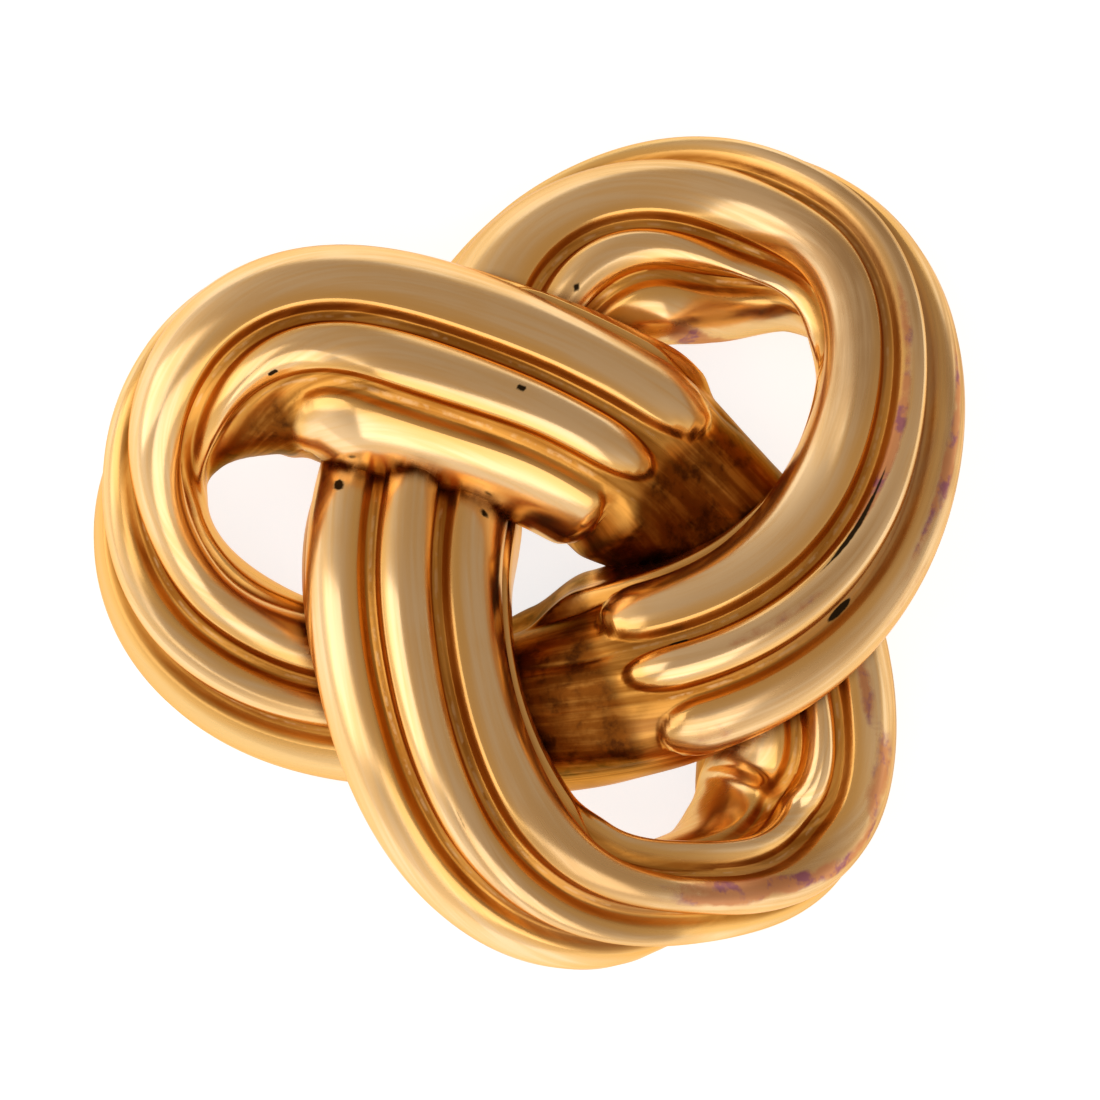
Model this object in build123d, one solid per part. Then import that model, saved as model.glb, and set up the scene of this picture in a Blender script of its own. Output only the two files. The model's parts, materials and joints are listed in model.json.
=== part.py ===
from build123d import *
from math import cos, hypot, pi, radians, sin, tan
import os

# A knot brooch: one ribbed strand that is wound into a three-lobed knot, cast in one
# piece and hollow from behind, with a plain pin fitting set into its back.
# Millimetres. It lies on its back: +Z is the front, +Y the top of the picture.

# ------ named sizes

REACH = 16.0            # from the middle of the knot to the strand, where it is farthest
RISE = 2.4              # how far the strand swings above and below its middle level
TUBE = 4.0              # half width of the strand, where it is widest
BACK_DEPTH = 3.4        # from the middle level down to the flat back
INNER_RIBS = (4.1, 2.6)  # widths of the two ribs inside the crest, round the strand
CREST_RIB = 3.5
OUTER_RIBS = (2.8, 2.8)
RIB_HEIGHT = 0.50       # from the groove floors to the rib crests
WALL = 0.75             # metal between a groove floor and the hollow
RIB_FLATS = 3           # flats across each rib, its flat top among them
UNDER_FLATS = 2
HOLLOW_FLATS = 8
SECTIONS = 24           # loft steps in one third of the strand
LOBE_TIP = 4            # station where one third meets the next
WEB = 0.15              # of a station left solid at each end of a third's hollow

BACK_TRIM = 0.02        # taken off the back at the end

PIN_RADIUS = 0.45       # stem of the pin fitting
PLATE_THICK = 0.80      # its two end plates
LEFT_PLATE_LONG = 5.5
RIGHT_PLATE_LONG = 6.2
PLATE_WIDE = 3.6
LEFT_PLATE_Y = 0.5      # its middle, beyond the stem
PIN_RECESS = 0.10       # the fitting stays this far above the flat back
SEAT_DEPTH = PIN_RECESS + PLATE_THICK
SEAT_MARGIN = 0.60      # room across each plate in its seat
SEAT_RUNOUT = 3.0       # so that a seat runs out past both rims
LEFT_PLATE_STATION = 2
RIGHT_PLATE_STATION = 10
CHANNEL_WIDE = 2.0      # slot across the back that clears the stem
CHANNEL_DEEP = 1.3

# ------ the path of the strand
# Eight stations in each lobe, from its innermost point, under the neighbour strand,
# round the lobe's tip and over the other neighbour. The strand turns clockwise at an
# even pace of thirty degrees a station, and "turn" is what each station is ahead of it.

FIRST_ANGLE = -70.6
PACE = -30.0
COLUMNS = ("turn", "reach", "rise", "width", "height", "lean")
STATIONS = {
    "left lobe": [
        (-11, 0.36, 0.08, 1.06, 0.87, -44),
        (-20, 0.445, -0.65, 0.92, 0.77, -52),
        (-16, 0.635, -1.00, 0.78, 0.75, -41),
        (-9, 0.912, -0.95, 0.65, 0.76, -24),
        (2, 1.025, 0.10, 0.45, 0.70, -9),
        (15, 0.905, 0.88, 0.80, 0.93, 22),
        (26, 0.625, 0.87, 1.07, 1.00, 38),
        (23, 0.365, 0.70, 1.05, 0.93, 34),
    ],
    "lower lobe": [
        (0, 0.33, 0.04, 0.99, 0.92, 26),
        (-18, 0.51, -0.65, 0.84, 0.87, 32),
        (-23, 0.72, -0.97, 0.95, 0.95, 52),
        (-12, 0.868, -0.95, 0.72, 0.87, 42),
        (2, 0.895, 0.02, 0.46, 0.68, 8),
        (15, 0.89, 0.87, 0.49, 0.74, -18),
        (22, 0.745, 0.92, 0.84, 0.85, -40),
        (15, 0.495, 0.77, 1.09, 0.93, -48),
    ],
    "upper lobe": [
        (-6, 0.395, 0.00, 1.06, 0.98, -38),
        (-18, 0.475, -0.75, 0.78, 0.83, -6),
        (-15, 0.70, -1.00, 0.88, 0.80, 33),
        (-10, 0.93, -0.83, 1.03, 0.77, 20),
        (0, 1.045, 0.15, 0.68, 0.70, -22),
        (10, 0.932, 0.85, 0.61, 0.88, -36),
        (16, 0.725, 0.80, 0.77, 0.92, -37),
        (10, 0.48, 0.70, 0.98, 0.88, -35),
    ],
}
ROWS = [row for rows in STATIONS.values() for row in rows]
COUNT = len(ROWS)
STEP = 2 * pi / COUNT


def read(column, place):
    """A table column at any place along the strand, smoothly and endlessly."""
    index = COLUMNS.index(column)
    total = 0.0
    for number, row in enumerate(ROWS):
        away = (place - number) * STEP
        away = (away + pi) % (2 * pi) - pi
        if abs(away) < 1e-9:
            weight = 1.0
        else:
            weight = sin(COUNT * away / 2) / (COUNT * tan(away / 2))
        total += weight * row[index]
    return total


def centre(place):
    """Middle of the strand."""
    angle = radians(FIRST_ANGLE + PACE * place + read("turn", place))
    reach = REACH * read("reach", place)
    return Vector(reach * cos(angle), reach * sin(angle), RISE * read("rise", place))


def directions(place):
    """Along the strand, out across it, and up through its crest."""
    along = (centre(place + 0.02) - centre(place - 0.02)).normalized()
    level = Vector(-along.Y, along.X, 0).normalized()
    upward = along.cross(level)
    if upward.Z < 0:
        upward = upward * -1
    lean = radians(read("lean", place))
    crest = upward * cos(lean) + level * sin(lean)
    out = level * cos(lean) - upward * sin(lean)
    return along, out, crest


def round_strand(place, angle, raised=0.0):
    """Point on the strand's oval section, raised from it by a height."""
    _, out, crest = directions(place)
    wide = TUBE * read("width", place)
    high = TUBE * read("height", place)
    x = wide * sin(angle)
    y = high * cos(angle)
    nx = sin(angle) / wide
    ny = cos(angle) / high
    size = hypot(nx, ny)
    return centre(place) + out * (x + raised * nx / size) + crest * (y + raised * ny / size)


def angle_after(place, distance):
    """Angle round the oval that lies a distance away from the crest."""
    wide = TUBE * read("width", place)
    high = TUBE * read("height", place)
    step = 0.01
    angle = 0.0
    gone = 0.0
    while gone < abs(distance) and angle < 0.97 * pi:
        gone += step * hypot(wide * cos(angle), high * sin(angle))
        angle += step
    return angle if distance > 0 else -angle


def closed(points):
    """Straight lines from point to point and back to the first."""
    return Wire([Line(first, last) for first, last in zip(points, points[1:] + points[:1])])


def groove_marks():
    """Distances from the crest to the six grooves, from the inner side to the outer."""
    marks = [-CREST_RIB / 2 - sum(INNER_RIBS)]
    for width in (*INNER_RIBS, CREST_RIB, *OUTER_RIBS):
        marks.append(marks[-1] + width)
    return marks


def ribbed_section(place):
    """Five ribs over the crest and both sides, and a plain underside."""
    angles = [angle_after(place, mark) for mark in groove_marks()]
    points = []
    for first, last in zip(angles, angles[1:]):
        for flat in range(RIB_FLATS):
            part = flat / RIB_FLATS
            height = RIB_HEIGHT * (1 - (2 * part - 1) ** 2)
            points.append(round_strand(place, first + (last - first) * part, height))
    under = 2 * pi - (angles[-1] - angles[0])
    for flat in range(UNDER_FLATS):
        points.append(round_strand(place, angles[-1] + under * flat / UNDER_FLATS))
    return closed(points)


def plain_section(place):
    """Plain hollow, inside the groove floors by the wall."""
    turn = 2 * pi / HOLLOW_FLATS
    return closed([round_strand(place, turn * flat, -WALL) for flat in range(HOLLOW_FLATS)])


def third(number, section, inset=0.0):
    """Straight-sided loft through one third of the strand, from lobe tip to lobe tip."""
    start = LOBE_TIP + COUNT / 3 * number + inset
    span = COUNT / 3 - 2 * inset
    wires = [section(start + span * step / SECTIONS) for step in range(SECTIONS + 1)]
    return Solid.make_loft(wires, ruled=True)


# ------ the knot

os.makedirs("parts", exist_ok=True)

below = Box(4 * REACH, 4 * REACH, REACH, align=(Align.CENTER, Align.CENTER, Align.MAX))
below = Pos(0, 0, -BACK_DEPTH) * below
thirds = [third(number, ribbed_section).cut(below) for number in range(3)]
knot = thirds[0].fuse(thirds[1]).fuse(thirds[2])
for number in range(3):
    knot = knot.cut(third(number, plain_section, WEB))
knot = Pos(0, 0, BACK_DEPTH) * knot

# ------ the pin fitting: two end plates and a stem, one plain piece
# Its plates lie across two of the three hollows, in seats cut into the rims.

left_middle = centre(LEFT_PLATE_STATION)
right_middle = centre(RIGHT_PLATE_STATION)
stem_y = (left_middle.Y + right_middle.Y) / 2
stem_middle = (left_middle.X + right_middle.X) / 2
stem_long = right_middle.X - left_middle.X
on_floor = (Align.CENTER, Align.CENTER, Align.MIN)

left_plate = Box(PLATE_WIDE, LEFT_PLATE_LONG, PLATE_THICK, align=on_floor)
right_plate = Box(RIGHT_PLATE_LONG, PLATE_WIDE, PLATE_THICK, align=on_floor)
left_place = Pos(left_middle.X, stem_y + LEFT_PLATE_Y, 0)
right_place = Pos(right_middle.X, stem_y, 0)
lifted = Pos(0, 0, PIN_RECESS)
stem = Rot(0, 90, 0) * Cylinder(PIN_RADIUS, stem_long)
stem = Pos(stem_middle, stem_y, PIN_RECESS + PIN_RADIUS) * stem
pin_fitting = lifted * left_place * left_plate + lifted * right_place * right_plate + stem

left_seat = Box(PLATE_WIDE + SEAT_MARGIN, LEFT_PLATE_LONG + SEAT_RUNOUT, SEAT_DEPTH, align=on_floor)
right_seat = Box(RIGHT_PLATE_LONG + SEAT_RUNOUT, PLATE_WIDE + SEAT_MARGIN, SEAT_DEPTH, align=on_floor)
channel = Box(stem_long, CHANNEL_WIDE, CHANNEL_DEEP, align=on_floor)
knot = knot.cut(left_place * left_seat)
knot = knot.cut(right_place * right_seat)
knot = knot.cut(Pos(stem_middle, stem_y, 0) * channel)

# The back is trimmed once more, so that every rim is truly flat.
trimmed = Box(4 * REACH, 4 * REACH, REACH, align=(Align.CENTER, Align.CENTER, Align.MAX))
knot = knot.cut(Pos(0, 0, BACK_TRIM) * trimmed)

# ------ origin under the middle of the outline, with the flat back on the floor

points, _ = knot.tessellate(0.02, 0.2)
middle_x = (min(p.X for p in points) + max(p.X for p in points)) / 2
middle_y = (min(p.Y for p in points) + max(p.Y for p in points)) / 2
to_origin = Pos(-middle_x, -middle_y, -BACK_TRIM)
print("solids", len(knot.solids()), "middle", middle_x, middle_y)

export_step(to_origin * knot, "parts/knot.step")
export_step(to_origin * pin_fitting, "parts/pin_fitting.step")
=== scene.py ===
# %% [markdown]
# A knot brooch in polished gold: one ribbed strand wound into a three-lobed knot, cast in
# one piece and hollow behind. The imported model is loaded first, as a fixed frame that
# nothing here may move. Lengths are in metres, and the brooch lies on its back.

# %% Load the frame
import json
import math
import bpy
import numpy as np
from mathutils import Matrix, Vector
from mathutils.kdtree import KDTree

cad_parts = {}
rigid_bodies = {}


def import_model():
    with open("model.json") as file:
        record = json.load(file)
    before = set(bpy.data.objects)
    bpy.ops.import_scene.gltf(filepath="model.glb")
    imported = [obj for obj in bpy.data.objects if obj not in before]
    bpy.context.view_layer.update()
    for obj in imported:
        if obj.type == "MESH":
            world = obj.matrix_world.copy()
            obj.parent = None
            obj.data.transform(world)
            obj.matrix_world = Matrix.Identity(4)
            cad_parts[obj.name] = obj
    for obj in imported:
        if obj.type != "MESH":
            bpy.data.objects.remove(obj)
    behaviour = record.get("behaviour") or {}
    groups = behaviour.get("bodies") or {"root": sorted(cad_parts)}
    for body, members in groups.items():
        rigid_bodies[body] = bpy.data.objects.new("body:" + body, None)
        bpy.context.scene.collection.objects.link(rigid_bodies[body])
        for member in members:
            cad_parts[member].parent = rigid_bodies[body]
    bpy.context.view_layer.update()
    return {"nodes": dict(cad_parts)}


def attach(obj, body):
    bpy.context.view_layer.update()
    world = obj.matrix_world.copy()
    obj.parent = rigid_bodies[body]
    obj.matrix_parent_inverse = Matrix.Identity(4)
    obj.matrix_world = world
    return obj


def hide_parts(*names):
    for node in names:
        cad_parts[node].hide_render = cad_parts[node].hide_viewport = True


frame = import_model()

MM = 0.001

# %% [markdown]
# The strand follows a closed path that is read from a short table: eight stations in
# each lobe, from its innermost point, under the neighbour strand, round the lobe's tip and
# over the other neighbour. The same table shaped the solid, so the finer surface made here
# lies on it. Lengths in the table are shares of the named sizes, and the lean of the
# ribs is in degrees.

# %% Named sizes of the strand
REACH = 16.0 * MM       # from the middle of the knot to the strand, where it is farthest
RISE = 2.4 * MM         # how far the strand swings above and below its middle level
TUBE = 4.0 * MM         # half width of the strand, where it is widest
BACK_DEPTH = 3.4 * MM   # from the middle level down to the flat back
BACK_TRIM = 0.02 * MM
RIB_HEIGHT = 0.50 * MM
WALL = 0.75 * MM
ORIGIN = Vector((1.247 * MM, -0.805 * MM, BACK_DEPTH - BACK_TRIM))

# %% The path of the strand
FIRST_ANGLE = -70.6
PACE = -30.0
COLUMNS = ("turn", "reach", "rise", "width", "height", "lean")
STATIONS = {
    "left lobe": [
        (-11, 0.36, 0.08, 1.06, 0.87, -44),
        (-20, 0.445, -0.65, 0.92, 0.77, -52),
        (-16, 0.635, -1.00, 0.78, 0.75, -41),
        (-9, 0.912, -0.95, 0.65, 0.76, -24),
        (2, 1.025, 0.10, 0.45, 0.70, -9),
        (15, 0.905, 0.88, 0.80, 0.93, 22),
        (26, 0.625, 0.87, 1.07, 1.00, 38),
        (23, 0.365, 0.70, 1.05, 0.93, 34),
    ],
    "lower lobe": [
        (0, 0.33, 0.04, 0.99, 0.92, 26),
        (-18, 0.51, -0.65, 0.84, 0.87, 32),
        (-23, 0.72, -0.97, 0.95, 0.95, 52),
        (-12, 0.868, -0.95, 0.72, 0.87, 42),
        (2, 0.895, 0.02, 0.46, 0.68, 8),
        (15, 0.89, 0.87, 0.49, 0.74, -18),
        (22, 0.745, 0.92, 0.84, 0.85, -40),
        (15, 0.495, 0.77, 1.09, 0.93, -48),
    ],
    "upper lobe": [
        (-6, 0.395, 0.00, 1.06, 0.98, -38),
        (-18, 0.475, -0.75, 0.78, 0.83, -6),
        (-15, 0.70, -1.00, 0.88, 0.80, 33),
        (-10, 0.93, -0.83, 1.03, 0.77, 20),
        (0, 1.045, 0.15, 0.68, 0.70, -22),
        (10, 0.932, 0.85, 0.61, 0.88, -36),
        (16, 0.725, 0.80, 0.77, 0.92, -37),
        (10, 0.48, 0.70, 0.98, 0.88, -35),
    ],
}
TABLE = np.array([row for rows in STATIONS.values() for row in rows], float)
COUNT = len(TABLE)
LOBE = COUNT // 3


def read(column, places):
    """A table column at any places along the endless strand, smoothly."""
    away = (places[:, None] - np.arange(COUNT)[None, :]) * 2 * math.pi / COUNT
    away = (away + math.pi) % (2 * math.pi) - math.pi
    away = np.where(np.abs(away) < 1e-7, 1e-7, away)
    weights = np.sin(COUNT * away / 2) / (COUNT * np.tan(away / 2))
    return weights @ TABLE[:, COLUMNS.index(column)]


def centre(places):
    """Middle of the strand at each place."""
    angle = np.radians(FIRST_ANGLE + PACE * places + read("turn", places))
    reach = REACH * read("reach", places)
    return np.stack([reach * np.cos(angle), reach * np.sin(angle), RISE * read("rise", places)], 1)


def unit(vectors):
    return vectors / np.linalg.norm(vectors, axis=-1, keepdims=True)


def directions(places):
    """Out across the strand, and up through its crest."""
    along = unit(centre(places + 0.02) - centre(places - 0.02))
    level = unit(np.stack([-along[:, 1], along[:, 0], 0 * along[:, 0]], 1))
    upward = np.cross(along, level)
    upward *= np.sign(upward[:, 2:3])
    lean = np.radians(read("lean", places))[:, None]
    crest = upward * np.cos(lean) + level * np.sin(lean)
    out = level * np.cos(lean) - upward * np.sin(lean)
    return out, crest


path = centre(np.linspace(0, COUNT, 2000))
strand_length = np.linalg.norm(np.diff(path, axis=0), axis=1).sum() / MM
print("stations", COUNT, "strand length mm", round(float(strand_length), 1))

# %% [markdown]
# Round the strand run five ribs with softly rounded polished tops, steep walls and narrow
# groove floors. The grooves wander a little along the strand, as on the real casting, so a
# second table says where they run. Such a surface follows a formula over the strand's
# length and girth. No primitive could be pushed into it, so its grid of points is worked
# out in code, and the operators only join, cut and clean it.

# %% Where the grooves run
# Millimetres round the strand from its crest to the middle of each groove, positive on
# the outer side, at each of the eight stations of a lobe.
GROOVE_COLUMNS = ("outer", "shoulder", "inner", "throat")
GROOVES = {
    "left lobe": [
        (4.2, 1.75, -1.9, -4.7),
        (4.4, 2.1, -1.7, -4.4),
        (4.5, 2.4, -1.3, -4.0),
        (4.3, 1.95, -0.85, -3.4),
        (3.9, 1.5, -1.6, -3.3),
        (5.2, 3.1, -1.35, -3.6),
        (5.6, 3.3, -2.3, -5.1),
        (4.8, 1.75, -2.4, -4.95),
    ],
    "lower lobe": [
        (4.6, 1.75, -2.3, -4.8),
        (4.6, 2.0, -2.1, -4.5),
        (4.6, 2.5, -2.25, -4.25),
        (4.4, 2.4, -1.35, -3.5),
        (4.1, 2.35, -0.15, -1.9),
        (3.7, 1.85, -0.55, -2.5),
        (4.6, 2.2, -1.3, -3.4),
        (4.87, 2.08, -1.9, -4.4),
    ],
    "upper lobe": [
        (4.6, 1.85, -2.1, -4.7),
        (4.8, 2.5, -2.0, -4.7),
        (5.3, 3.3, -1.8, -4.5),
        (4.9, 2.6, -1.45, -3.7),
        (3.75, 1.65, -1.6, -2.9),
        (3.6, 1.5, -2.1, -4.0),
        (3.85, 1.55, -3.1, -5.3),
        (3.85, 1.45, -2.4, -5.0),
    ],
}
GROOVE_TABLE = np.array([row for rows in GROOVES.values() for row in rows], float) * MM
OUTER_RIB = 3.4 * MM    # from the last groove on each side to the plain underside
THROAT_RIB = 3.8 * MM


def wander(table, places):
    """Rows of a table at any places along the endless strand, through each station."""
    station = np.floor(places).astype(int)
    part = (places - station)[:, None]
    rows = [table[(station + step) % COUNT] for step in (-1, 0, 1, 2)]
    straight = 2 * rows[1] + (rows[2] - rows[0]) * part
    bent = (2 * rows[0] - 5 * rows[1] + 4 * rows[2] - rows[3]) * part ** 2
    return (straight + bent + (3 * rows[1] - rows[0] - 3 * rows[2] + rows[3]) * part ** 3) / 2


def rib_edges(places):
    """Six groove middles round the strand at each place, from the inner side outwards."""
    outer, shoulder, inner, throat = wander(GROOVE_TABLE, places).T
    return np.stack([throat - THROAT_RIB, throat, inner, shoulder, outer, outer + OUTER_RIB], 1)


first_tip = np.round(rib_edges(np.array([4.0]))[0] / MM, 2)
print("ribs", rib_edges(np.arange(COUNT)).shape, "at the first tip mm", first_tip)

# %% [markdown]
# Each polished top ends in a rounded fingertip where the strand dives under the next one,
# and the plain strand beyond lies deeper and keeps only low ridges. On the sides that
# turn away from the eye there the ribs give way to a plain flank.

# %% Ribs, walls and fingertips
GROOVE_HALF = 0.52 * MM # from a groove's middle to the edge of a polished top
FLOOR_SHARE = 0.38      # of that is the groove floor, the rest its wall
CROWN = 0.72            # of the rib's height is lost from its middle to its shoulder
GROOVE_SINK = 0.38 * MM # groove floors lie this much under the solid's
DROP = 0.32 * MM        # the plain strand beyond the fingertips lies this much deeper
LOW_RIDGE = 0.30 * MM   # of each rib is left beyond its fingertip
FLANK_LEVEL = 0.22 * MM # height of the plain flanks
HIDDEN = 0.6            # stations from the lobe's innermost point, where its ribs change over
START = 0.95            # ribs come up again under the neighbour strand

# Where each rib's polished top ends, in stations from the lobe's innermost point, from the
# throat rib to the outer one, and how long its fingertip is.
RIB_ENDS = {
    "left lobe": (7.57, 7.66, 8.04, 8.04, 8.04),
    "lower lobe": (8.15, 8.15, 8.15, 8.15, 8.15),
    "upper lobe": (7.72, 7.72, 7.72, 7.60, 7.54),
}
FINGERTIPS = {
    "left lobe": (0.16, 0.38, 0.50, 0.50, 0.50),
    "lower lobe": (0.20, 0.20, 0.20, 0.20, 0.20),
    "upper lobe": (0.22, 0.22, 0.26, 0.22, 0.20),
}
# The left lobe's throat and inner ribs also start at fingertips: station and length.
EARLY_STARTS = ((5.20, 0.36), (4.55, 0.85))
# On the sides that turn away the ribs are plain, from one station to another.
PLAIN_FLANKS = (
    ("left lobe", -1, 0.8, 4.5),
    ("left lobe", 1, 6.3, 8.1),
    ("lower lobe", -1, 5.2, 8.5),
    ("upper lobe", -1, 4.7, 8.5),
)
# Where the strand is fuller on its throat side: first and last station, and how much.
FULLER = (
    (4.9, 9.3, 1.00 * MM),
    (9.2, 12.2, 0.50 * MM),
    (15.0, 17.2, 0.40 * MM),
    (17.8, 20.8, 0.45 * MM),
    (22.6, 25.9, 1.05 * MM),
    (23.7, 25.9, 1.20 * MM),
)


def girth_angles(places, distances):
    """Angle round the oval section at each distance from the crest."""
    wide = TUBE * read("width", places)
    high = TUBE * read("height", places)
    turn = np.linspace(0, math.pi, 240)
    speed = np.hypot(wide[:, None] * np.cos(turn), high[:, None] * np.sin(turn))
    gone = np.cumsum((speed[:, 1:] + speed[:, :-1]) / 2 * turn[1], 1)
    gone = np.concatenate([np.zeros((len(places), 1)), gone], 1)
    angles = [np.sign(far) * np.interp(np.abs(far), row, turn) for far, row in zip(distances, gone)]
    return np.clip(np.stack(angles), -0.97 * math.pi, 0.97 * math.pi)


def on_strand(places, angles, raised):
    """Points on the strand's oval, raised from it by a height."""
    out, crest = directions(places)
    wide = (TUBE * read("width", places))[:, None]
    high = (TUBE * read("height", places))[:, None]
    across = np.sin(angles)
    up = np.cos(angles)
    size = np.hypot(across / wide, up / high)
    x = wide * across + raised * across / wide / size
    y = high * up + raised * up / high / size
    return centre(places)[:, None, :] + out[:, None, :] * x[..., None] + crest[:, None, :] * y[..., None]


def smooth(value):
    value = np.clip(value, 0, 1)
    return value * value * (3 - 2 * value)


NEAR_WALL = np.array([0, 0.2, 0.38, 0.52, 0.66, 0.80, 0.92, 1.05, 1.20])
ON_TOP = np.array([0.12, 0.30, 0.50, 0.70, 0.88])
RIB_POINTS = 2 * len(NEAR_WALL) - 1 + len(ON_TOP)


def ring_layout(places):
    """Distances round the strand of every ring's points, and each point's rib."""
    edges = rib_edges(places)
    distances, middles, halves, walls = [], [], [], []
    for rib in range(5):
        low, high = edges[:, rib:rib + 1], edges[:, rib + 1:rib + 2]
        half = np.minimum(GROOVE_HALF, 0.3 * (high - low))
        reach = NEAR_WALL[-1] * half
        top = low + reach + (high - low - 2 * reach) * ON_TOP
        row = np.concatenate([low + half * NEAR_WALL, top, high - half * NEAR_WALL[:0:-1]], 1)
        distances.append(row)
        middles.append((low + high) / 2 + 0 * row)
        halves.append((high - low) / 2 - half + 0 * row)
        walls.append(half + 0 * row)
    last = [edges[:, 5:6], middles[4][:, :1], halves[4][:, :1], walls[4][:, :1]]
    parts = (distances, middles, halves, walls)
    return [np.concatenate([*part, end], 1) for part, end in zip(parts, last)]


RIB_NUMBER = np.append(np.repeat(np.arange(5), RIB_POINTS), 4)
UNDER_POINTS = 9


def lobe_relief(lobe, local, layout):
    """Heights over the oval, groove values and recess values for one lobe's ribs."""
    distances, middles, halves, walls = layout
    ends = np.array(RIB_ENDS[lobe])
    tips = np.array(FINGERTIPS[lobe])
    local = local[:, None]
    rib_middles = middles[:, [0, RIB_POINTS, 2 * RIB_POINTS, 3 * RIB_POINTS, 4 * RIB_POINTS]]
    line = np.stack([np.interp(row, middle, ends) for row, middle in zip(distances, rib_middles)])
    tip = tips[RIB_NUMBER][None, :]
    beyond = np.clip((local - ends[RIB_NUMBER][None, :] + tip) / tip, 0, 4)
    before = np.clip((START + 0.3 - local) / 0.3, 0, 4) + 0 * beyond
    past = smooth((local - line + 0.06) / 0.30)
    past = np.maximum(past, 1 - smooth((local - START + 0.3) / 0.6))
    fade_end = HIDDEN + LOBE - 0.05
    fade = smooth((fade_end - local) / (fade_end - line)) * smooth((local - HIDDEN) / 0.5)
    throat_side = 0 * beyond
    if lobe == "left lobe":
        for rib, (start, length) in enumerate(EARLY_STARTS):
            early = np.clip((start + length - local) / length, 0, 4)
            before = np.where(RIB_NUMBER[None, :] == rib, early, before)
        beside = smooth((middles[:, RIB_POINTS:RIB_POINTS + 1] - 0.8 * MM - distances) / (1.0 * MM))
        throat_side = beside * smooth((local - 3.5) / 0.6)
        past = np.maximum(past, throat_side * (1 - smooth((local - EARLY_STARTS[0][0] + 0.1) / 0.3)))
    sideways = np.abs(distances - middles) / halves
    off = np.hypot(np.maximum(beyond, before), sideways)
    wall = np.clip((off - 1) * halves / (walls * (1 - FLOOR_SHARE)), 0, 1)
    top = RIB_HEIGHT * (1 - CROWN * np.clip(off, 0, 1) ** 2)
    inside = np.abs(distances - middles) / (halves + walls)
    ridge = LOW_RIDGE * past * fade * (1 - inside ** 2)
    sink = GROOVE_SINK * (1 - throat_side * past)
    height = top * (1 - smooth(wall)) - sink * smooth(wall)
    middle_line = np.clip((inside - 0.90) / 0.10, 0, 1)
    groove = 0.22 * smooth((off - 0.62) / 0.38) + 0.58 * wall + 0.2 * middle_line * wall * (1 - past)
    flank = 0 * beyond
    for which, side, first, last in PLAIN_FLANKS:
        if which == lobe:
            edge = rib_middles[:, 2:3] + side * (halves[:, 2 * RIB_POINTS:2 * RIB_POINTS + 1] + 0.12 * MM)
            stretch = smooth((local - first) / 0.5) * smooth((last - local) / 0.6)
            flank = np.maximum(flank, smooth(side * (distances - edge) / (0.45 * MM)) * stretch)
    height = height + (FLANK_LEVEL - height) * flank
    groove = groove + (0.20 - groove) * flank
    aside = smooth((np.abs(distances) - 4.5 * MM) / (2.0 * MM))
    lowered = DROP * past * (1 - flank) * (1 - throat_side) * (1 - aside)
    return height - lowered + ridge * (1 - flank), groove, past


def surface_rows(first, rows):
    """Points of one third of the strand, with the values that its finish needs."""
    spread = np.linspace(0, LOBE, 400)
    density = 1 + 1.2 * np.exp(-((spread + first) % LOBE - 7.6) ** 2 / 0.3)
    steps = np.concatenate([[0], np.cumsum((density[1:] + density[:-1]) / 2)])
    places = first + np.interp(np.linspace(0, steps[-1], rows), steps, spread)
    layout = ring_layout(places)
    distances = layout[0]
    height = np.zeros_like(distances)
    groove = np.zeros_like(distances)
    recess = np.zeros_like(distances)
    for index, lobe in enumerate(STATIONS):
        local = (places - index * LOBE - HIDDEN) % COUNT + HIDDEN
        mine = local < LOBE + HIDDEN
        if mine.any():
            part = [rows[mine] for rows in layout]
            height[mine], groove[mine], recess[mine] = lobe_relief(lobe, local[mine], part)
    for start, end, amount in FULLER:
        place = ((places - start) % COUNT + start)[:, None]
        stretch = smooth((place - start) / 1.0) * smooth((end - place) / 0.7)
        height = height + amount * stretch * smooth((-distances - 2.8 * MM) / (2.4 * MM))
    angles = girth_angles(places, distances)
    points = on_strand(places, angles, height)
    under = np.linspace(0, 1, UNDER_POINTS + 2)[1:-1]
    rest = angles[:, -1:] + (2 * math.pi - angles[:, -1:] + angles[:, :1]) * under[None, :]
    edges = height[:, -1:] * (1 - under[None, :]) + height[:, :1] * under[None, :]
    lower = on_strand(places, rest, edges)
    plain = np.ones((rows, UNDER_POINTS))
    far = distances[:, -1:] + 2 * MM * plain
    values = {
        "groove": np.concatenate([groove, 0.5 * plain], 1),
        "recess": np.concatenate([recess, 0 * plain], 1),
        "along": np.repeat(places[:, None], distances.shape[1] + UNDER_POINTS, 1),
        "across": np.concatenate([distances, far], 1) / MM,
    }
    return np.concatenate([points, lower], 1), values


# %% Closed tubes, joins and cuts
def select_only(piece):
    bpy.ops.object.select_all(action="DESELECT")
    bpy.context.view_layer.objects.active = piece
    piece.select_set(True)


def closed_tube(name, points):
    """A tube through rows of points, with a flat cap at each end."""
    rows, ring = points.shape[:2]
    corners = points.reshape(-1, 3) + np.array(ORIGIN)
    start = (np.arange(rows - 1)[:, None] * ring + np.arange(ring)[None, :]).ravel()
    after = (np.arange(rows - 1)[:, None] * ring + (np.arange(ring) + 1) % ring).ravel()
    faces = np.stack([start, after, after + ring, start + ring], 1).tolist()
    faces.append(list(reversed(range(ring))))
    faces.append(list(range((rows - 1) * ring, rows * ring)))
    mesh = bpy.data.meshes.new(name)
    mesh.from_pydata(corners.tolist(), [], faces)
    tube = bpy.data.objects.new(name, mesh)
    bpy.context.scene.collection.objects.link(tube)
    select_only(tube)
    bpy.ops.object.mode_set(mode="EDIT")
    bpy.ops.mesh.select_all(action="SELECT")
    bpy.ops.mesh.normals_make_consistent(inside=False)
    bpy.ops.object.mode_set(mode="OBJECT")
    return tube


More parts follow.
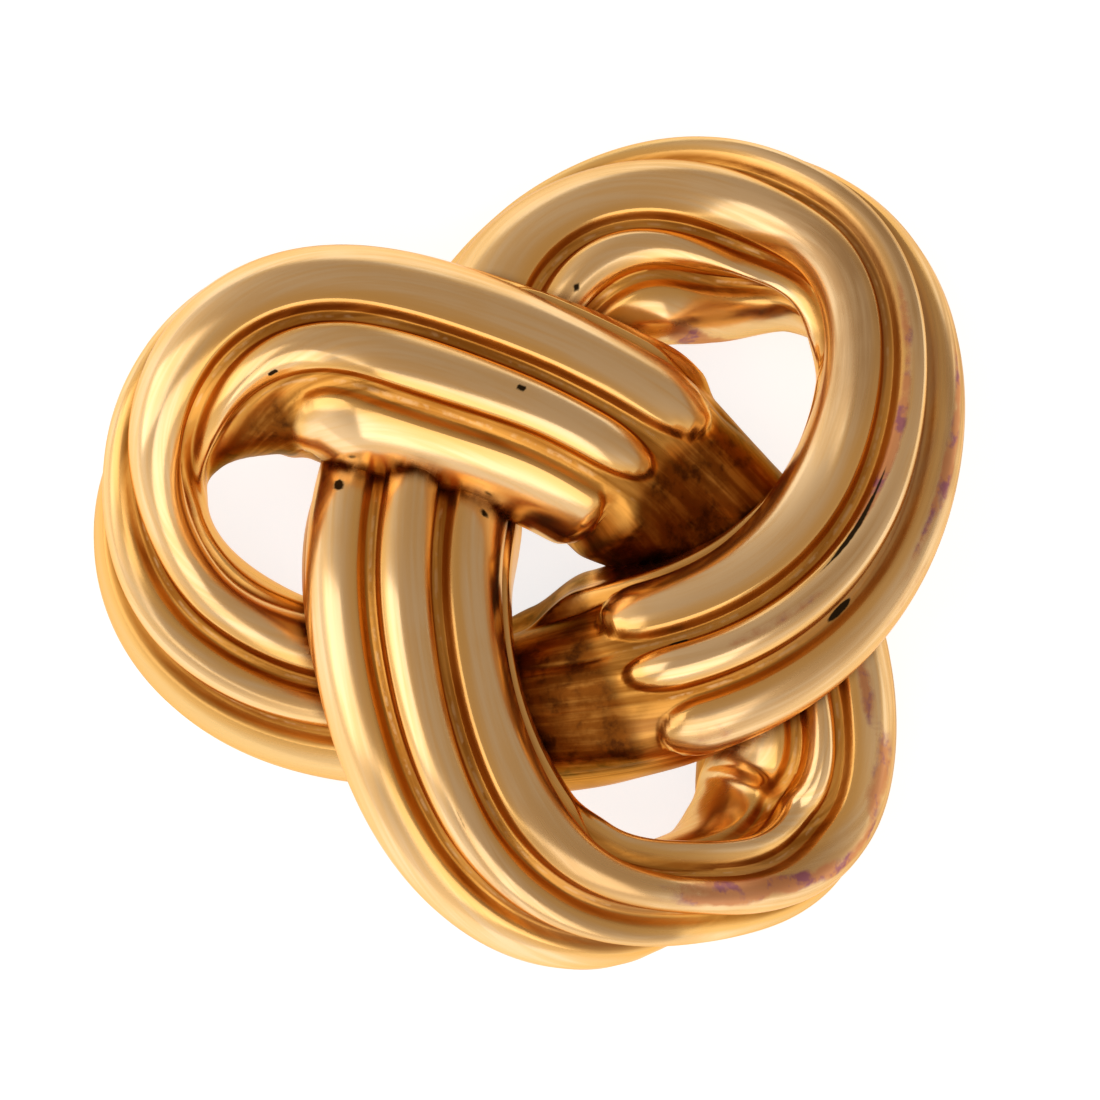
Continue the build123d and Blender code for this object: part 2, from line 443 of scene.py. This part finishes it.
def combine(body, tool, operation):
    """Join or cut with another closed piece, which is then removed."""
    modifier = body.modifiers.new("combine", "BOOLEAN")
    modifier.operation = operation
    modifier.solver = "MANIFOLD"
    modifier.object = tool
    select_only(body)
    bpy.ops.object.modifier_apply(modifier=modifier.name)
    bpy.data.objects.remove(tool)
    return body


# The strand is made in thirds, because a tube that crosses itself can't be joined. They
# meet deep inside the crossings, where no seam shows.
SEAM = 1.5
ROWS = 270
surfaces = [surface_rows(SEAM + LOBE * number, ROWS) for number in range(3)]
knot, *others = [closed_tube(f"third_{number}", surfaces[number][0]) for number in range(3)]
for other in others:
    combine(knot, other, "UNION")
print("faces of the joined strand", len(knot.data.polygons))

# %% [markdown]
# The real piece is cast hollow, open at the back. The hollow is a plain oval tunnel a
# wall's thickness inside the strand, and a flat cut takes off the back.

# %% Hollow and flat back
HOLLOW_ROWS = 90
HOLLOW_POINTS = 32
WEB = 0.15


def hollow_rows(first, rows):
    places = first + np.linspace(WEB, LOBE - WEB, rows)
    angles = np.linspace(0, 2 * math.pi, HOLLOW_POINTS, endpoint=False)[None, :] + np.zeros((rows, 1))
    return on_strand(places, angles, -WALL - GROOVE_SINK + 0 * angles)


for number in range(3):
    hollow = closed_tube("hollow", hollow_rows(4 + LOBE * number, HOLLOW_ROWS))
    combine(knot, hollow, "DIFFERENCE")


def block(name, low, high):
    """A plain block from corner to corner, used only to cut with."""
    bpy.ops.object.select_all(action="DESELECT")
    bpy.ops.mesh.primitive_cube_add(size=1)
    cutter = bpy.context.active_object
    cutter.name = name
    for corner in cutter.data.vertices:
        for axis in range(3):
            corner.co[axis] = low[axis] if corner.co[axis] < 0 else high[axis]
    return cutter


combine(knot, block("below", (-0.03, -0.03, -0.01), (0.03, 0.03, 0.0)), "DIFFERENCE")

# %% [markdown]
# The plain pin fitting behind is a rigid solid of the frame, and stays. Its two end plates
# lie in seats cut across the rims, and a slot clears its stem, so the same cuts are made
# here from the same named sizes.

# %% Seats and slot for the pin fitting
PIN_RECESS = 0.10 * MM - BACK_TRIM
PLATE_THICK = 0.80 * MM
LEFT_PLATE_LONG = 5.5 * MM
RIGHT_PLATE_LONG = 6.2 * MM
PLATE_WIDE = 3.6 * MM
LEFT_PLATE_Y = 0.5 * MM
SEAT_MARGIN = 0.60 * MM
SEAT_RUNOUT = 3.0 * MM
CHANNEL_WIDE = 2.0 * MM
CHANNEL_DEEP = 1.3 * MM

plate_middles = centre(np.array([2.0, 10.0])) + np.array(ORIGIN)
stem_y = plate_middles[:, 1].mean()
seat_top = PIN_RECESS + PLATE_THICK
CUTS = {
    "left_seat": (plate_middles[0][0], stem_y + LEFT_PLATE_Y,
                  PLATE_WIDE + SEAT_MARGIN, LEFT_PLATE_LONG + SEAT_RUNOUT, seat_top),
    "right_seat": (plate_middles[1][0], stem_y,
                   RIGHT_PLATE_LONG + SEAT_RUNOUT, PLATE_WIDE + SEAT_MARGIN, seat_top),
    "slot": (plate_middles[:, 0].mean(), stem_y,
             plate_middles[1][0] - plate_middles[0][0], CHANNEL_WIDE, CHANNEL_DEEP),
}
for name, (x, y, long, wide, deep) in CUTS.items():
    low = (x - long / 2, y - wide / 2, -0.001)
    high = (x + long / 2, y + wide / 2, deep)
    combine(knot, block(name, low, high), "DIFFERENCE")

MERGE_GAP = 0.0000002
knot.name = "ribbed_knot"
select_only(knot)
bpy.ops.object.mode_set(mode="EDIT")
bpy.ops.mesh.select_all(action="SELECT")
bpy.ops.mesh.quads_convert_to_tris()
bpy.ops.mesh.remove_doubles(threshold=MERGE_GAP)
bpy.ops.mesh.dissolve_degenerate(threshold=MERGE_GAP)
bpy.ops.mesh.normals_make_consistent(inside=False)
bpy.ops.object.mode_set(mode="OBJECT")

# The cuts can leave a few loose slivers, so only what hangs together with the top stays.
highest = max(knot.data.vertices, key=lambda corner: corner.co.z).index
bpy.ops.object.mode_set(mode="EDIT")
bpy.ops.mesh.select_all(action="DESELECT")
bpy.ops.object.mode_set(mode="OBJECT")
knot.data.vertices[highest].select = True
bpy.ops.object.mode_set(mode="EDIT")
bpy.ops.mesh.select_linked()
bpy.ops.mesh.select_all(action="INVERT")
bpy.ops.mesh.delete(type="VERT")
bpy.ops.mesh.select_all(action="SELECT")
bpy.ops.mesh.fill_holes(sides=8)
bpy.ops.mesh.quads_convert_to_tris()
bpy.ops.object.mode_set(mode="OBJECT")
print("mesh needed repair", knot.data.validate())

# %% [markdown]
# The finishes need to know where the polished tops, the grooves, the deep recesses and the
# places close to another strand are. Each point of the finished surface looks up the
# nearest point of the strand that it came from, and keeps its values as attributes.

# %% Where the old finish and the painted pit shade show
# Patches in stations along the strand and millimetres across it: middle along, middle
# across, half length, half width, strength.
PATCHES = {
    "haze": [
        (20.6, 0.0, 1.1, 1.8, 0.8), (21.1, 5.6, 1.4, 1.7, 0.9), (21.5, 3.6, 1.4, 0.7, 1.0),
        (20.4, 2.7, 0.8, 1.0, 0.7), (10.8, 0.4, 1.8, 1.0, 0.6), (13.0, 1.2, 1.0, 1.0, 0.45),
        (13.2, 3.4, 0.9, 1.2, 0.35), (22.9, 5.2, 0.9, 0.9, 0.4), (22.6, 2.6, 0.7, 0.6, 0.4),
        (18.6, 1.6, 1.0, 0.8, 0.35), (7.2, 0.5, 1.6, 0.6, 0.25),
    ],
    "blush": [
        (11.6, 0.5, 1.4, 0.34, 1.0), (10.35, -0.3, 0.4, 0.7, 0.9), (9.85, -1.1, 0.25, 0.5, 0.9),
        (12.35, 0.85, 0.6, 0.3, 0.8), (13.4, 3.5, 0.7, 0.35, 0.45), (21.6, 4.85, 0.8, 0.35, 0.9),
        (21.7, 2.1, 0.8, 0.22, 0.9), (21.2, -1.2, 0.5, 0.4, 0.5), (22.9, 2.6, 0.4, 0.3, 0.6),
        (23.35, 5.6, 0.15, 0.8, 0.5), (19.1, -6.0, 0.6, 1.0, 0.8), (20.9, 2.1, 0.3, 0.2, 0.7),
        (22.3, 5.4, 0.4, 0.5, 0.45),
    ],
    # Small dark spots and thin lines: grime, and painted shade in the pits at the rounded rib ends under the
    # next strand.
    "grime_spots_and_pit_shade": [
        (22.6, 3.9, 0.10, 0.22, 0.95), (22.2, 2.1, 0.5, 0.09, 0.9),
        (15.63, 5.9, 0.04, 0.15, 1.0), (15.63, 3.15, 0.04, 0.15, 1.0),
        (15.63, 0.35, 0.05, 0.15, 1.0), (23.35, 1.75, 0.07, 0.1, 1.0), (5.17, -3.0, 0.05, 0.12, 1.0),
        (6.75, -3.4, 0.04, 0.1, 1.0), (18.07, -3.2, 0.05, 0.18, 1.0), (11.9, -1.35, 0.2, 0.09, 0.8),
        (10.2, -1.35, 0.14, 0.08, 0.8), (19.3, -0.35, 0.35, 0.08, 0.7), (6.6, -1.62, 0.3, 0.07, 0.7),
        (6.5, -4.15, 0.3, 0.07, 0.7), (14.9, 3.7, 0.1, 0.08, 0.5), (14.15, 3.4, 0.3, 0.06, 0.5),
    ],
}


def patch_strength(rows, along, across):
    """Strength at each point of the nearest patches, fading to their rims."""
    total = np.zeros_like(along)
    for middle, side, half_long, half_wide, strength in rows:
        away = np.hypot((along - middle) / half_long, (across - side) / half_wide)
        total = np.maximum(total, strength * smooth(1.35 - away))
    return total


# %% Surface attributes
def give_attributes(body):
    mesh = body.data
    places = np.empty(len(mesh.vertices) * 3)
    mesh.vertices.foreach_get("co", places)
    places = places.reshape(-1, 3)
    trees, flat_values = [], []
    for points, values in surfaces:
        tree = KDTree(points.shape[0] * points.shape[1])
        for index, point in enumerate(points.reshape(-1, 3) + np.array(ORIGIN)):
            tree.insert(point, index)
        tree.balance()
        trees.append(tree)
        flat_values.append({name: data.ravel() for name, data in values.items()})
    result = {name: np.zeros(len(places)) for name in (*flat_values[0], "tuck", "inside")}
    for index, point in enumerate(places):
        found = [tree.find(point) for tree in trees]
        own, near = sorted(range(3), key=lambda which: found[which][2])[:2]
        for name, data in flat_values[own].items():
            result[name][index] = data[found[own][1]]
        result["tuck"][index] = math.exp(-found[near][2] / (0.8 * MM))
        result["inside"][index] = min(1.0, found[own][2] / (0.35 * MM))
    for name, rows in PATCHES.items():
        result[name] = patch_strength(rows, result["along"], result["across"])
    for name, data in result.items():
        mesh.attributes.new(name, "FLOAT", "POINT").data.foreach_set("value", data)
    print("attributes", {name: round(float(data.mean()), 3) for name, data in result.items()})


give_attributes(knot)
select_only(knot)
bpy.ops.object.shade_smooth_by_angle(angle=math.radians(50))
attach(knot, "root")
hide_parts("knot")

# %% [markdown]
# The gold. On the polished tops it mirrors the studio softly. The groove walls were never reached by the
# polishing wheel, so they stay satin; their dark orange is painted shade and painted reflection of gold in
# gold, and a pale painted highlight runs along the groove floors. The rib shoulders and the lower sides get
# painted shade too. Beyond the fingertips and close under the next strand it is brown and speckled: old
# polish and grime with painted shade, and dark spots mark grime and painted shade in the pits at the rib
# ends. Patterns read object coordinates, in metres.

# %% Helpers for the finishes
def new_material(name):
    material = bpy.data.materials.new(name)
    material.use_nodes = True
    material.node_tree.nodes.clear()
    return material, material.node_tree


def add(tree, kind, inputs=None, **settings):
    """A node with its settings and its inputs' values or links."""
    node = tree.nodes.new(kind)
    for key, value in settings.items():
        setattr(node, key, value)
    for key, value in (inputs or {}).items():
        if isinstance(value, bpy.types.NodeSocket):
            tree.links.new(value, node.inputs[key])
        else:
            node.inputs[key].default_value = value
    return node


def maths(tree, operation, first, second=0.0, third=0.0):
    return add(tree, "ShaderNodeMath", {0: first, 1: second, 2: third}, operation=operation).outputs[0]


def span(tree, value, low, high, to_low=0.0, to_high=1.0):
    """The value from low to high, eased and spread over another range."""
    node = add(tree, "ShaderNodeMapRange", {0: value, 1: low, 2: high, 3: to_low, 4: to_high},
               interpolation_type="SMOOTHSTEP")
    return node.outputs[0]


def noise(tree, where, scale, detail=4.0, rough=0.55):
    values = {"Vector": where, "Scale": scale, "Detail": detail, "Roughness": rough}
    node = add(tree, "ShaderNodeTexNoise", values)
    return node.outputs["Fac"]


def blend(tree, amount, first, second):
    """One colour over another by an amount."""
    node = add(tree, "ShaderNodeMix", data_type="RGBA")
    for socket, value in ((node.inputs["Factor"], amount), (node.inputs[6], first), (node.inputs[7], second)):
        if isinstance(value, bpy.types.NodeSocket):
            tree.links.new(value, socket)
        else:
            socket.default_value = value
    return node.outputs[2]


def attribute(tree, name):
    return add(tree, "ShaderNodeAttribute", attribute_name=name).outputs["Fac"]


# %% The knot's gold
gold, tree = new_material("ribbed_gold")
where = add(tree, "ShaderNodeTexCoord").outputs["Object"]
groove = attribute(tree, "groove")
recess = attribute(tree, "recess")
tuck = attribute(tree, "tuck")
inner = attribute(tree, "inside")
haze = attribute(tree, "haze")
blush = attribute(tree, "blush")
grime_spots_and_pit_shade = attribute(tree, "grime_spots_and_pit_shade")
height = add(tree, "ShaderNodeSeparateXYZ", {0: where}).outputs["Z"]
both_ways = {0: attribute(tree, "along"), 1: attribute(tree, "across")}
unrolled = add(tree, "ShaderNodeCombineXYZ", both_ways).outputs[0]
wiped = add(tree, "ShaderNodeMapping", {"Vector": unrolled, "Scale": (1.1, 4.5, 1.0)}).outputs[0]
dragged = add(tree, "ShaderNodeMapping", {"Vector": unrolled, "Scale": (1.0, 2.6, 1.0)}).outputs[0]

broad = noise(tree, where, 160, 3)
fine = noise(tree, where, 1500, 5, 0.6)
wipes = noise(tree, wiped, 1.0, 4)
streaks = noise(tree, dragged, 1.0, 3, 0.5)

shoulder = span(tree, groove, 0.0, 0.22)
wall = span(tree, groove, 0.22, 0.55)
# A painted highlight: a pale textured line along the middle of each groove floor.
floor_highlight_line = maths(tree, "MULTIPLY", span(tree, groove, 0.86, 0.98, 0.0, 0.45), span(tree, fine, 0.46, 0.62))
# Beyond the fingertips and close under another strand: mottled grime together with painted shade where the
# next strand hangs over.
sheltered = maths(tree, "MAXIMUM", span(tree, recess, 0.45, 1.0), span(tree, tuck, 0.35, 0.85))
blotches = noise(tree, where, 700, 4, 0.6)
mottled = span(tree, maths(tree, "ADD", blotches, streaks), 0.72, 1.05, 0.60, 1.0)
grime_and_shade = maths(tree, "MULTIPLY", sheltered, mottled)
# Painted shade: the lower the surface lies, the more it takes the darker side colour.
flank = span(tree, height, 0.0045, 0.0015)
hazy = maths(tree, "MULTIPLY", haze, span(tree, maths(tree, "ADD", broad, wipes), 0.75, 1.15, 0.35, 1.0))
blushing = span(tree, maths(tree, "MULTIPLY", blush, maths(tree, "ADD", fine, 0.30)), 0.28, 0.62, 0.0, 0.85)
# Grime spots and painted pit shade, near black.
spot_and_pit_shade_mask = span(tree, maths(tree, "MULTIPLY", grime_spots_and_pit_shade, maths(tree, "ADD", fine, 0.45)), 0.38, 0.66)

POLISHED = (0.96, 0.69, 0.38, 1)
WARM = (0.93, 0.60, 0.26, 1)
SHOULDER_SHADE_AMBER = (0.90, 0.50, 0.13, 1)
LOW_SIDE_SHADE = (0.84, 0.55, 0.22, 1)
WALL_SHADE_GOLD = (0.74, 0.35, 0.07, 1)
DARK_WALL_SHADE = (0.40, 0.15, 0.02, 1)
FLOOR_LINE_HIGHLIGHT = (0.80, 0.52, 0.26, 1)
GRIME_AND_SHADE_BROWN = (0.21, 0.062, 0.007, 1)
GRIME_AND_SHADE_BLACK = (0.08, 0.022, 0.004, 1)
HAZED = (0.52, 0.31, 0.14, 1)
RED = (0.62, 0.25, 0.11, 1)
VIOLET = (0.30, 0.08, 0.17, 1)
SPOT_AND_PIT_SHADE = (0.03, 0.018, 0.008, 1)
HOLLOW = (0.42, 0.20, 0.06, 1)

top_colour = blend(tree, span(tree, maths(tree, "ADD", broad, wipes), 0.80, 1.20), POLISHED, WARM)
# Painted shade on the lower sides.
top_colour = blend(tree, flank, top_colour, LOW_SIDE_SHADE)
# Painted shade: the rib tops turn amber towards their shoulders beside the grooves.
top_colour = blend(tree, maths(tree, "MULTIPLY", shoulder, 0.75), top_colour, SHOULDER_SHADE_AMBER)
# Painted shade and painted reflection of gold in gold: the groove walls are dark orange, darker along random
# streaks.
wall_shade_colour = blend(tree, span(tree, streaks, 0.34, 0.66), WALL_SHADE_GOLD, DARK_WALL_SHADE)
# The grooves' painted shade with the painted highlight line along their floors.
groove_shade_and_highlight = blend(tree, floor_highlight_line, wall_shade_colour, FLOOR_LINE_HIGHLIGHT)
colour = blend(tree, wall, top_colour, groove_shade_and_highlight)
colour = blend(tree, hazy, colour, HAZED)
# Brown to black there: grime and painted shade.
grime_and_shade_colour = blend(tree, span(tree, maths(tree, "ADD", fine, blotches), 0.95, 1.25), GRIME_AND_SHADE_BROWN, GRIME_AND_SHADE_BLACK)
colour = blend(tree, grime_and_shade, colour, grime_and_shade_colour)
colour = blend(tree, blushing, colour, blend(tree, span(tree, blotches, 0.50, 0.62), RED, VIOLET))
colour = blend(tree, spot_and_pit_shade_mask, colour, SPOT_AND_PIT_SHADE)
colour = blend(tree, span(tree, inner, 0.4, 1.0), colour, HOLLOW)

roughness = span(tree, maths(tree, "ADD", broad, wipes), 0.75, 1.25, 0.17, 0.25)
for amount, extra in ((wall, 0.10), (sheltered, 0.05), (flank, 0.08),
                      (hazy, 0.10), (blushing, 0.12), (spot_and_pit_shade_mask, 0.20),
                      (inner, 0.22)):
    roughness = maths(tree, "MULTIPLY_ADD", amount, extra, roughness)

dull = maths(tree, "MAXIMUM", wall, sheltered)
relief = maths(tree, "MULTIPLY", fine, span(tree, dull, 0.0, 1.0, 0.05, 0.9))
relief = maths(tree, "MULTIPLY_ADD", wipes, 0.10, relief)
bump = add(tree, "ShaderNodeBump", {"Strength": 0.35, "Distance": 0.00006, "Height": relief})
gold_inputs = {"Base Color": colour, "Roughness": roughness, "Normal": bump.outputs[0]}
shader = add(tree, "ShaderNodeBsdfPrincipled", gold_inputs)
shader.inputs["Metallic"].default_value = 1.0
shader.inputs["Specular Tint"].default_value = (1.0, 0.76, 0.48, 1)
add(tree, "ShaderNodeOutputMaterial", {"Surface": shader.outputs[0]})
knot.data.materials.clear()
knot.data.materials.append(gold)
print("nodes in the knot's gold", len(tree.nodes))

# %% [markdown]
# The pin fitting behind was cut from plain strip and wire and only brushed, so its gold is
# paler and satin, with fine lines along its length.

# %% The pin fitting's gold
brushed, tree = new_material("brushed_gold")
where = add(tree, "ShaderNodeTexCoord").outputs["Object"]
drawn = add(tree, "ShaderNodeMapping", {"Vector": where, "Scale": (60, 2200, 2200)}).outputs[0]
lines = noise(tree, drawn, 1.0, 4)
stain = noise(tree, where, 500, 3)
colour = blend(tree, span(tree, stain, 0.35, 0.7), (0.86, 0.58, 0.25, 1), (0.60, 0.33, 0.11, 1))
bump = add(tree, "ShaderNodeBump", {"Strength": 0.25, "Distance": 0.00003, "Height": lines})
shader = add(tree, "ShaderNodeBsdfPrincipled", {"Base Color": colour, "Metallic": 1.0,
             "Roughness": span(tree, lines, 0.3, 0.7, 0.28, 0.42), "Normal": bump.outputs[0]})
add(tree, "ShaderNodeOutputMaterial", {"Surface": shader.outputs[0]})
for slot in frame["nodes"]["pin_fitting"].material_slots:
    slot.material = brushed
print("pin fitting slots", len(frame["nodes"]["pin_fitting"].material_slots))

# %% [markdown]
# The brooch was photographed on plain white, from a little in front of straight above,
# between large soft lights. The crests mirror the darker room above, and the left and
# front slopes mirror the lights.

# %% Floor
bpy.ops.object.select_all(action="DESELECT")
bpy.ops.mesh.primitive_plane_add(size=3.0)
floor = bpy.context.active_object
floor.name = "floor"
paper, tree = new_material("white_paper")
where = add(tree, "ShaderNodeTexCoord").outputs["Object"]
tooth = noise(tree, where, 900, 3)
floor_grey = blend(tree, tooth, (0.44, 0.44, 0.44, 1), (0.47, 0.47, 0.47, 1))
shader = add(tree, "ShaderNodeBsdfPrincipled", {"Base Color": floor_grey,
             "Roughness": 0.9, "Emission Color": (1, 1, 1, 1), "Emission Strength": 0.80})
add(tree, "ShaderNodeOutputMaterial", {"Surface": shader.outputs[0]})
floor.data.materials.append(paper)

# %% Camera
TILT = math.radians(15.22)
ROLL = math.radians(-31.75)
PHOTO_WIDE = 1100       # pixels each way
AIM_X = 566.04          # pixel that the camera's axis meets
AIM_Y = 549.37
CAMERA_FAR = 113.0 * MM
turn = Matrix.Rotation(ROLL, 3, "Z")
toward = turn @ Vector((0, -math.sin(TILT), math.cos(TILT)))
lift = Vector((0, math.cos(TILT), math.sin(TILT)))
right = turn @ (Vector((math.cos(ROLL), 0, 0)) - math.sin(ROLL) * lift)
above = turn @ (Vector((math.sin(ROLL), 0, 0)) + math.cos(ROLL) * lift)
camera_data = bpy.data.cameras.new("camera")
camera = bpy.data.objects.new("camera", camera_data)
bpy.context.scene.collection.objects.link(camera)
place = Matrix((right, above, toward)).transposed().to_4x4()
place.translation = ORIGIN + toward * CAMERA_FAR
camera.matrix_world = place
camera_data.sensor_width = 36
camera_data.lens = 36 * (CAMERA_FAR / (0.04 * MM)) / 1100
camera_data.shift_x = (PHOTO_WIDE / 2 - AIM_X) / PHOTO_WIDE
camera_data.shift_y = (AIM_Y - PHOTO_WIDE / 2) / PHOTO_WIDE
camera_data.clip_start = 0.005
camera_data.clip_end = 5
bpy.context.scene.camera = camera

# %% Studio light
bpy.context.scene.view_settings.view_transform = "Standard"
world = bpy.data.worlds.new("studio")
bpy.context.scene.world = world
world.use_nodes = True
tree = world.node_tree
tree.nodes.clear()
sky = add(tree, "ShaderNodeTexCoord").outputs["Generated"]
axes = add(tree, "ShaderNodeSeparateXYZ", {0: sky})
room = blend(tree, span(tree, axes.outputs["Z"], 0.10, 0.95), (0.90, 0.82, 0.75, 1), (0.46, 0.38, 0.31, 1))
dim_side = maths(tree, "ADD", maths(tree, "MULTIPLY", axes.outputs["X"], 0.6),
                 maths(tree, "MULTIPLY", axes.outputs["Y"], 0.8))
room = blend(tree, span(tree, dim_side, -0.2, 0.9), room, (0.40, 0.33, 0.27, 1))
glow = add(tree, "ShaderNodeBackground", {"Color": room, "Strength": 1.0})
add(tree, "ShaderNodeOutputWorld", {"Surface": glow.outputs[0]})


def soft_light(name, position, size, power):
    """A square area light that faces the brooch."""
    lamp = bpy.data.lights.new(name, "AREA")
    lamp.size = size
    lamp.energy = power
    holder = bpy.data.objects.new(name, lamp)
    bpy.context.scene.collection.objects.link(holder)
    holder.location = position
    holder.rotation_euler = (-Vector(position)).to_track_quat("-Z", "Y").to_euler()
    return holder


soft_light("left_light", (-0.36, 0.0, 0.30), 0.42, 0.52)
soft_light("front_light", (0.02, -0.32, 0.36), 0.42, 0.54)
